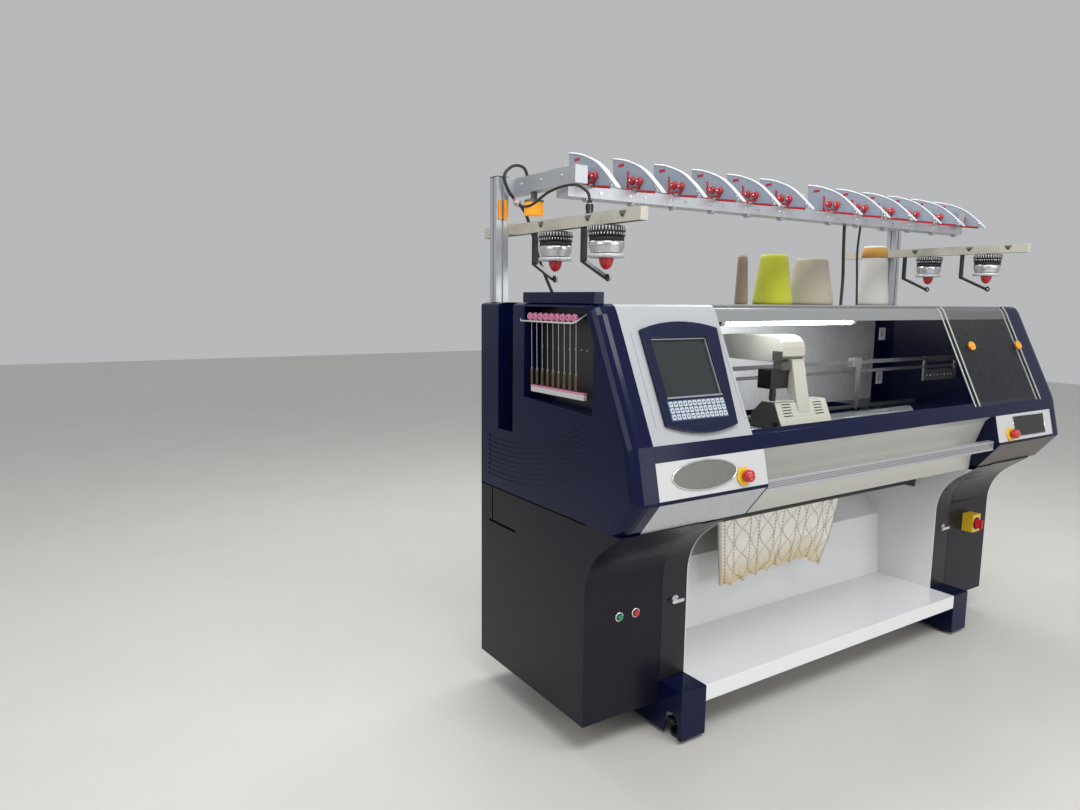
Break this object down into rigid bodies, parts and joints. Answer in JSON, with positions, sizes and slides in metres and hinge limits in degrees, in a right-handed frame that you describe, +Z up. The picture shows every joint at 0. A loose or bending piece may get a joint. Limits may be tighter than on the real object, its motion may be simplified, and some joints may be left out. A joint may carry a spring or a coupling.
{
  "type": "computerised flat knitting machine",
  "caption": "Flat knitting machine with two V-set needle beds, a travelling carriage, sliding clear covers, a sloped control screen, a fabric bay and an overhead yarn stand.",
  "frame": {"origin": "centre of the footprint on the floor, under the levelling pads", "axes": "+X along the needle beds to the operator's right, front towards -Y, +Z up"},
  "size_m": [2.55, 1.1544, 2.02],
  "materials": {
    "frame_navy": "gloss",
    "charcoal": "satin",
    "black_strip": "satin",
    "white_sheet": "gloss",
    "off_white": "gloss",
    "rubber_black": "matt",
    "chrome": "polished",
    "green": "gloss",
    "red": "gloss",
    "yellow": "gloss",
    "grey_sheet": "satin",
    "beige_sheet": "satin",
    "aluminium": "satin",
    "badge_grey": "gloss",
    "frame_plastic": "gloss",
    "screen": "gloss",
    "membrane": "matt",
    "steel": "brushed",
    "cover_clear": "clear",
    "orange": "gloss",
    "lamp": "lit",
    "cast": "machined",
    "bed_steel": "ground",
    "ivory": "gloss",
    "black_plastic": "matt",
    "fin_blue": "gloss",
    "yarn": "wound",
    "knit": "knitted",
    "stand_alu": "satin"
  },
  "bodies": {
    "frame": {"base_frame": "frame_navy", "levelling_pads": "rubber_black", "bay_liner": "white_sheet", "fabric_shelf": "white_sheet", "left_cabinet": "charcoal", "right_cabinet": "charcoal", "main_switch_box": "yellow", "left_housing": "frame_navy", "right_housing": "frame_navy", "under_panels": "grey_sheet", "front_beam": "frame_navy", "front_apron": "beige_sheet", "name_plates": "off_white", "badges": "badge_grey", "e_stop_bases": "yellow", "control_bezel": "off_white", "display_frame": "frame_plastic", "display_screen": "screen", "keypad": "membrane", "yarn_table": "frame_navy", "rear_cover": "charcoal", "back_panel": "steel", "light_tube": "lamp", "bed_frame": "cast", "front_needle_bed": "bed_steel", "rear_needle_bed": "bed_steel", "yarn_rails": "bed_steel", "yarn_stand": "stand_alu", "tensioner_plates": "fin_blue", "tensioner_discs": "red", "feeder_arms": "aluminium", "signal_lamp": "orange", "side_tensioner": "steel", "yarn_cones": "yarn", "knitted_fabric": "knit", "stand_cables": "rubber_black"},
    "left_leg_cover": {"left_leg_cover": "black_strip"},
    "right_leg_cover": {"right_leg_cover": "black_strip"},
    "wing_lock_left": {"wing_lock_left": "chrome"},
    "wing_lock_right": {"wing_lock_right": "chrome"},
    "start_button": {"start_button": "green"},
    "stop_button": {"stop_button": "red"},
    "main_switch_knob": {"main_switch_knob": "red"},
    "operating_bar": {"operating_bar": "aluminium"},
    "e_stop_left": {"e_stop_head_left": "red"},
    "e_stop_right": {"e_stop_head_right": "red"},
    "cover_outer": {"sliding_cover_outer": "cover_clear", "cover_knobs": "orange"},
    "cover_inner": {"sliding_cover_inner": "cover_clear"},
    "carriage": {"carriage_front_box": "ivory", "carriage_bridge": "ivory", "carriage_cable_box": "black_plastic"},
    "carrier_front": {"yarn_carrier_front": "bed_steel"},
    "carrier_rear": {"yarn_carrier_rear": "bed_steel"},
    "roller_front": {"takedown_roller_front": "rubber_black"},
    "roller_rear": {"takedown_roller_rear": "rubber_black"},
    "drum_1": {"feeder_drum_1": "black_plastic"},
    "drum_2": {"feeder_drum_2": "black_plastic"},
    "drum_3": {"feeder_drum_3": "black_plastic"},
    "drum_4": {"feeder_drum_4": "black_plastic"}
  },
  "joints": [
    {"name": "left_leg_cover_off", "type": "slide", "parent": "frame", "child": "left_leg_cover", "axis": [0, -1, 0], "range_m": [0, 0.2]},
    {"name": "right_leg_cover_off", "type": "slide", "parent": "frame", "child": "right_leg_cover", "axis": [0, -1, 0], "range_m": [0, 0.2]},
    {"name": "left_wing_turn", "type": "hinge", "parent": "left_leg_cover", "child": "wing_lock_left", "pos_m": [-0.8865, -0.295, 0.475], "axis": [0, 1, 0], "range_deg": [0, 90]},
    {"name": "right_wing_turn", "type": "hinge", "parent": "right_leg_cover", "child": "wing_lock_right", "pos_m": [0.7825, -0.295, 0.475], "axis": [0, 1, 0], "range_deg": [0, 90]},
    {"name": "start_push", "type": "slide", "parent": "frame", "child": "start_button", "axis": [0, 1, 0], "range_m": [0, 0.004], "stiffness_N_per_m": 400},
    {"name": "stop_push", "type": "slide", "parent": "frame", "child": "stop_button", "axis": [0, 1, 0], "range_m": [0, 0.004], "stiffness_N_per_m": 400},
    {"name": "main_switch_turn", "type": "hinge", "parent": "frame", "child": "main_switch_knob", "pos_m": [0.9895, -0.34, 0.475], "axis": [0, 1, 0], "range_deg": [0, 90]},
    {"name": "bar_rock", "type": "hinge", "parent": "frame", "child": "operating_bar", "pos_m": [0, -0.505, 0.912], "axis": [1, 0, 0], "range_deg": [-12, 12], "stiffness_Nm_per_rad": 12},
    {"name": "left_e_stop_push", "type": "slide", "parent": "frame", "child": "e_stop_left", "axis": [0, 0.9759, -0.2182], "range_m": [0, 0.005], "stiffness_N_per_m": 1500},
    {"name": "right_e_stop_push", "type": "slide", "parent": "frame", "child": "e_stop_right", "axis": [0, 0.9759, -0.2182], "range_m": [0, 0.005], "stiffness_N_per_m": 1500},
    {"name": "outer_cover_slide", "type": "slide", "parent": "frame", "child": "cover_outer", "axis": [-1, 0, 0], "range_m": [0, 1.37]},
    {"name": "inner_cover_slide", "type": "slide", "parent": "frame", "child": "cover_inner", "axis": [-1, 0, 0], "range_m": [0, 1.35]},
    {"name": "carriage_travel", "type": "slide", "parent": "frame", "child": "carriage", "axis": [1, 0, 0], "range_m": [-0.24, 1.33]},
    {"name": "front_carrier_travel", "type": "slide", "parent": "frame", "child": "carrier_front", "axis": [1, 0, 0], "range_m": [-1.04, 0.52]},
    {"name": "rear_carrier_travel", "type": "slide", "parent": "frame", "child": "carrier_rear", "axis": [1, 0, 0], "range_m": [-0.1, 1.46]},
    {"name": "front_roller_turn", "type": "hinge", "parent": "frame", "child": "roller_front", "pos_m": [0, -0.1667, 0.7], "axis": [1, 0, 0], "continuous": true},
    {"name": "rear_roller_turn", "type": "hinge", "parent": "frame", "child": "roller_rear", "pos_m": [0, -0.1033, 0.7], "axis": [1, 0, 0], "continuous": true},
    {"name": "drum_1_spin", "type": "hinge", "parent": "frame", "child": "drum_1", "pos_m": [-1.15, 0.088, 1.7], "axis": [0, 0, 1], "continuous": true},
    {"name": "drum_2_spin", "type": "hinge", "parent": "frame", "child": "drum_2", "pos_m": [-1.15, -0.203, 1.7], "axis": [0, 0, 1], "continuous": true},
    {"name": "drum_3_spin", "type": "hinge", "parent": "frame", "child": "drum_3", "pos_m": [1.15, 0.088, 1.7], "axis": [0, 0, 1], "continuous": true},
    {"name": "drum_4_spin", "type": "hinge", "parent": "frame", "child": "drum_4", "pos_m": [1.15, -0.203, 1.7], "axis": [0, 0, 1], "continuous": true}
  ],
  "couplings": [
    {"joint": "rear_roller_turn", "follows": "front_roller_turn", "ratio": -1}
  ]
}
